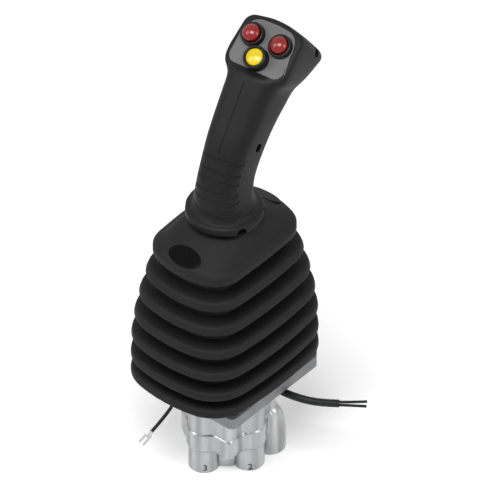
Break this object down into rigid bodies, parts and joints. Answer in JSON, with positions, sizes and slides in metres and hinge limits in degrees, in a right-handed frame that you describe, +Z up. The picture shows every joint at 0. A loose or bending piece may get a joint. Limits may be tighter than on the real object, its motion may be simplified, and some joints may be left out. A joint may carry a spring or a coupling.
{
  "type": "hydraulic pilot joystick",
  "caption": "Hydraulic remote-control joystick: ported valve body and mounting plate, folded rounded-rectangular gaiter, leaning two-shell grip and three push buttons.",
  "frame": {"origin": "centre of the mounting plate's underside, which is the centre of its four mounting holes", "axes": "+Z up along the upright lever, +Y away from the operator, +X to the operator's right"},
  "size_m": [0.1393, 0.157, 0.3434],
  "materials": {
    "cast_aluminium": "bead-blasted casting",
    "plate_metal": "machined, dull",
    "steel": "turned",
    "black_screws": "blackened",
    "black_rubber": "matt moulded",
    "black_plastic": "fine-grained moulding",
    "grey_plastic": "satin",
    "red_plastic": "glossy",
    "yellow_plastic": "glossy",
    "cable_jacket": "satin",
    "bronze": "turned"
  },
  "bodies": {
    "housing": {"valve_body": "cast_aluminium", "mounting_plate": "plate_metal", "gaiter_frame": "black_plastic", "body_screws": "black_screws", "frame_screws": "black_screws", "joint_base": "steel", "gaiter_folds": "black_rubber", "cable_gland": "black_plastic", "cable": "cable_jacket", "core_wire_upper": "cable_jacket", "core_wire_lower": "cable_jacket", "lead_grommet": "black_rubber", "earth_lead": "cable_jacket", "fork_terminal": "steel", "guide_right": "bronze", "wiper_right": "black_rubber", "guide_back": "bronze", "wiper_back": "black_rubber", "guide_left": "bronze", "wiper_left": "black_rubber", "guide_front": "bronze", "wiper_front": "black_rubber"},
    "gimbal": {"joint_cross": "steel"},
    "lever": {"joint_fork": "steel", "cam_plate": "steel", "lock_nut": "steel", "lever_rod": "steel", "gaiter_cap": "black_rubber", "badge_front": "black_plastic", "badge_back": "black_plastic", "handle_collar": "black_plastic", "collar_set_screws": "black_screws", "grip_shell_left": "black_plastic", "grip_shell_right": "black_plastic", "shell_screws": "black_screws", "button_panel": "grey_plastic", "button_body_red_left": "black_plastic", "button_body_red_right": "black_plastic", "button_body_yellow": "black_plastic"},
    "plunger_back": {"plunger_back": "steel"},
    "plunger_front": {"plunger_front": "steel"},
    "plunger_right": {"plunger_right": "steel"},
    "plunger_left": {"plunger_left": "steel"},
    "button_red_left": {"button_cap_red_left": "red_plastic"},
    "button_red_right": {"button_cap_red_right": "red_plastic"},
    "button_yellow": {"button_cap_yellow": "yellow_plastic"}
  },
  "joints": [
    {"name": "lever_pitch", "type": "hinge", "parent": "housing", "child": "gimbal", "pos_m": [0, 0, 0.03], "axis": [1, 0, 0], "range_deg": [-19, 19], "stiffness_Nm_per_rad": 6, "deforming": ["gaiter_folds"]},
    {"name": "lever_roll", "type": "hinge", "parent": "gimbal", "child": "lever", "pos_m": [0, 0, 0.03], "axis": [0, 1, 0], "range_deg": [-19, 19], "stiffness_Nm_per_rad": 6},
    {"name": "plunger_back_slide", "type": "slide", "parent": "housing", "child": "plunger_back", "axis": [0, 0, 1], "range_m": [-0.0079, 0.0079]},
    {"name": "plunger_front_slide", "type": "slide", "parent": "housing", "child": "plunger_front", "axis": [0, 0, 1], "range_m": [-0.0079, 0.0079]},
    {"name": "plunger_right_slide", "type": "slide", "parent": "housing", "child": "plunger_right", "axis": [0, 0, 1], "range_m": [-0.0079, 0.0079]},
    {"name": "plunger_left_slide", "type": "slide", "parent": "housing", "child": "plunger_left", "axis": [0, 0, 1], "range_m": [-0.0079, 0.0079]},
    {"name": "button_red_left_press", "type": "slide", "parent": "lever", "child": "button_red_left", "axis": [-0.0556, 0.5666, -0.8221], "range_m": [0, 0.0015], "stiffness_N_per_m": 1200, "springref_m": -0.0015},
    {"name": "button_red_right_press", "type": "slide", "parent": "lever", "child": "button_red_right", "axis": [-0.0556, 0.5666, -0.8221], "range_m": [0, 0.0015], "stiffness_N_per_m": 1200, "springref_m": -0.0015},
    {"name": "button_yellow_press", "type": "slide", "parent": "lever", "child": "button_yellow", "axis": [-0.0556, 0.5666, -0.8221], "range_m": [0, 0.0015], "stiffness_N_per_m": 1200, "springref_m": -0.0015}
  ],
  "couplings": [
    {"joint": "plunger_back_slide", "follows": "lever_pitch", "m_per_rad": 0.0235},
    {"joint": "plunger_front_slide", "follows": "lever_pitch", "m_per_rad": -0.0235},
    {"joint": "plunger_right_slide", "follows": "lever_roll", "m_per_rad": -0.0235},
    {"joint": "plunger_left_slide", "follows": "lever_roll", "m_per_rad": 0.0235}
  ]
}
